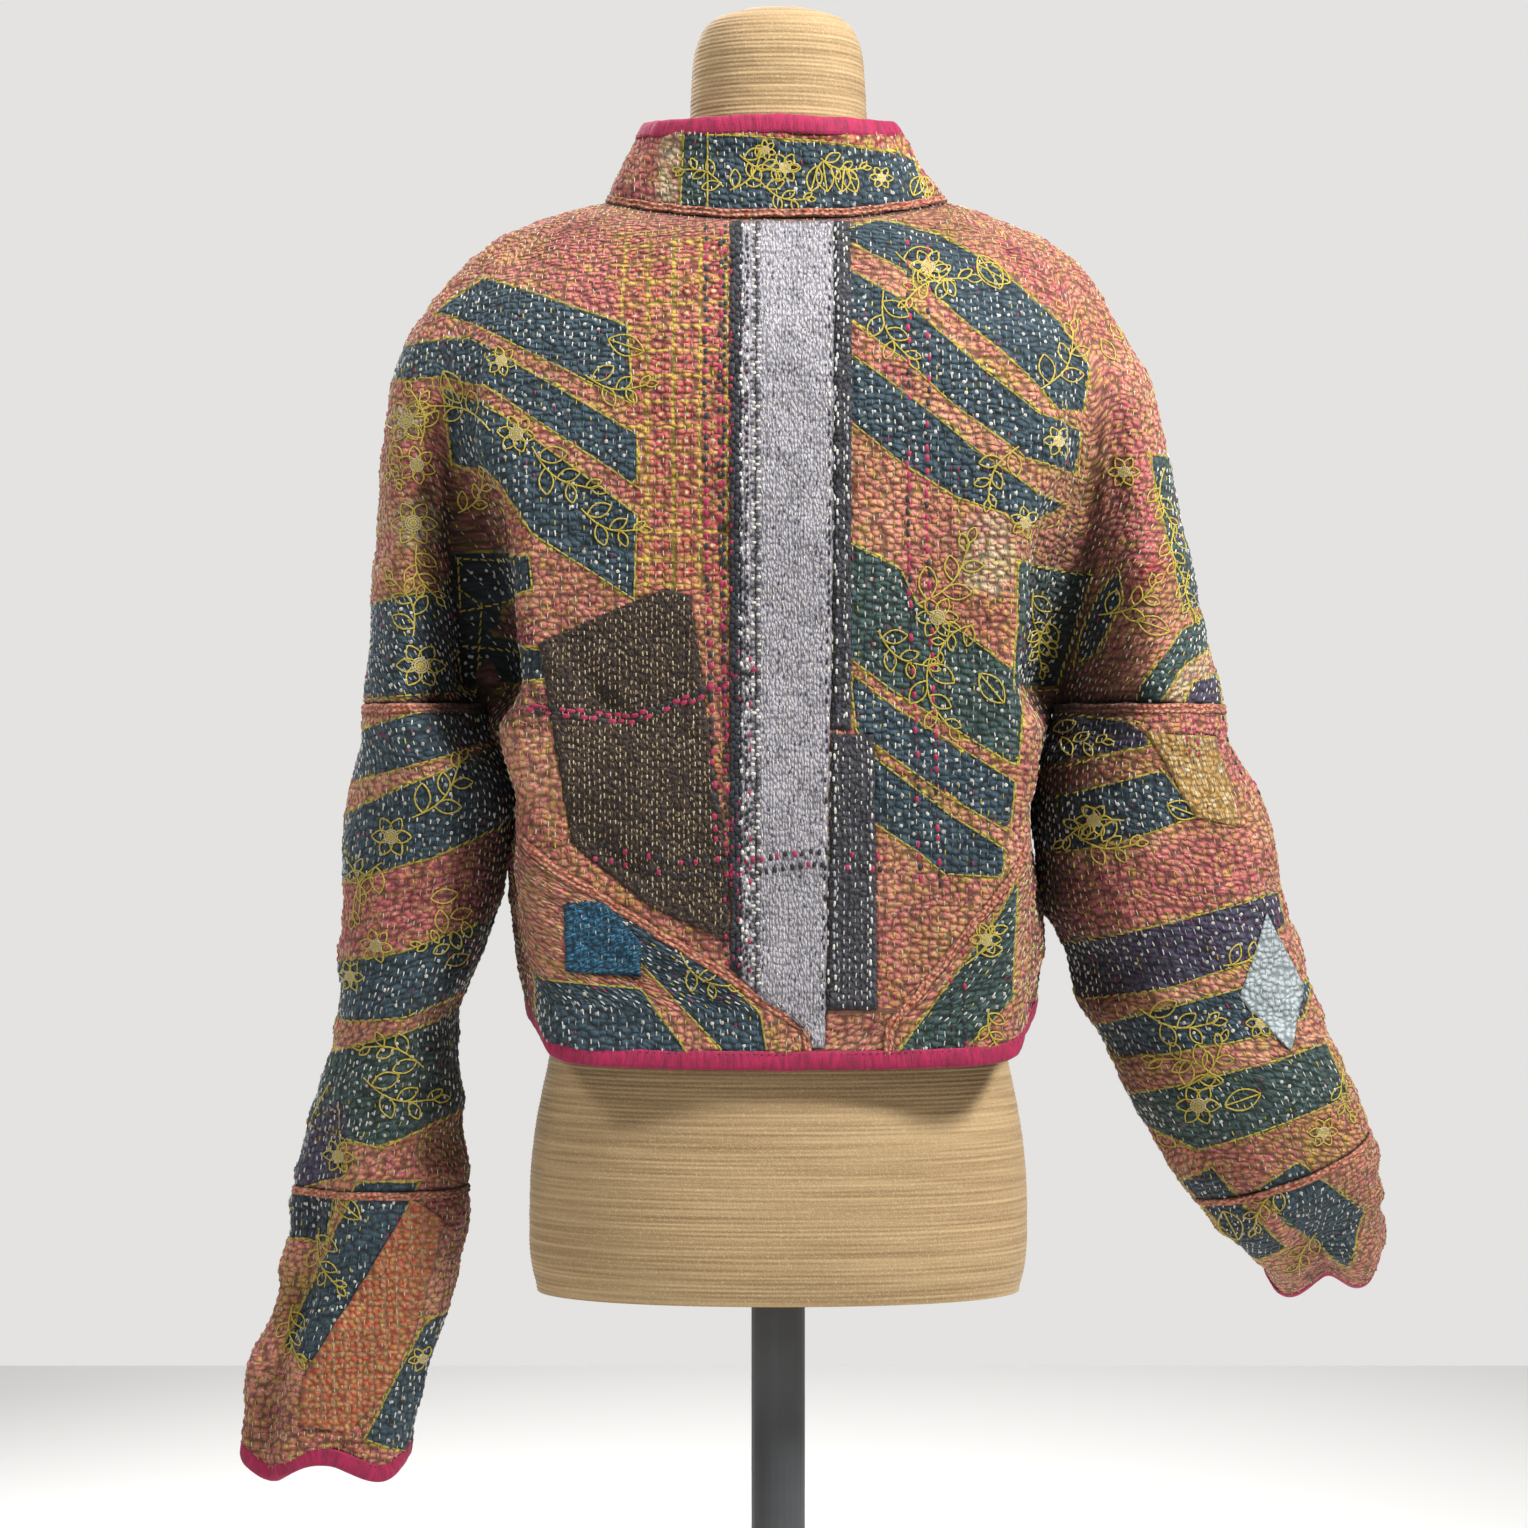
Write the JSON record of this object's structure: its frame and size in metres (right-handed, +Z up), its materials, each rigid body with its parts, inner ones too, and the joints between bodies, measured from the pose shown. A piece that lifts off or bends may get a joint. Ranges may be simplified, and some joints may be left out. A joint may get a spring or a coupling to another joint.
{
  "type": "kantha jacket on a dress form",
  "caption": "Short quilted kantha jacket with stand collar, dropped sleeves and bound edges, worn open-edged on a limbless rope-wound dress form with a round base.",
  "frame": {"origin": "centre of the base's underside, on the floor under the pole", "axes": "+Z up; the wearer faces -Y; the wearer's left is +X"},
  "size_m": [0.7497, 0.33, 1.473],
  "materials": {
    "cloth": "printed cotton in layers, quilted with running stitch, matt",
    "binding": "plain magenta cotton bias tape",
    "patch_silver": "pale grey speckled cotton",
    "patch_plum": "dark dotted cotton",
    "patch_charcoal": "charcoal cotton",
    "patch_brown": "brown tweed cotton",
    "patch_turquoise": "turquoise cotton",
    "patch_ochre": "ochre cotton",
    "patch_pale": "pale grey-blue cotton",
    "patch_rust": "rust checked cotton",
    "rope": "thin jute rope wound round, matt",
    "metal": "matt powder coat"
  },
  "bodies": {
    "root": {"back": "cloth", "back_corner_left": "cloth", "back_corner_right": "cloth", "front_left": "cloth", "front_right": "cloth", "sleeve_upper_left": "cloth", "sleeve_lower_left": "cloth", "sleeve_upper_right": "cloth", "sleeve_lower_right": "cloth", "collar": "cloth", "collar_binding": "binding", "hem_binding": "binding", "cuff_binding_left": "binding", "cuff_binding_right": "binding", "front_binding_left": "binding", "front_binding_right": "binding", "strip_centre": "patch_silver", "strip_edge": "patch_plum", "strip_charcoal": "patch_charcoal", "patch_charcoal": "patch_charcoal", "patch_brown": "patch_brown", "patch_turquoise": "patch_turquoise", "patch_ochre": "patch_ochre", "patch_pale": "patch_pale", "patch_checked": "patch_rust", "form": "rope", "pole": "metal", "base": "metal"}
  },
  "joints": []
}
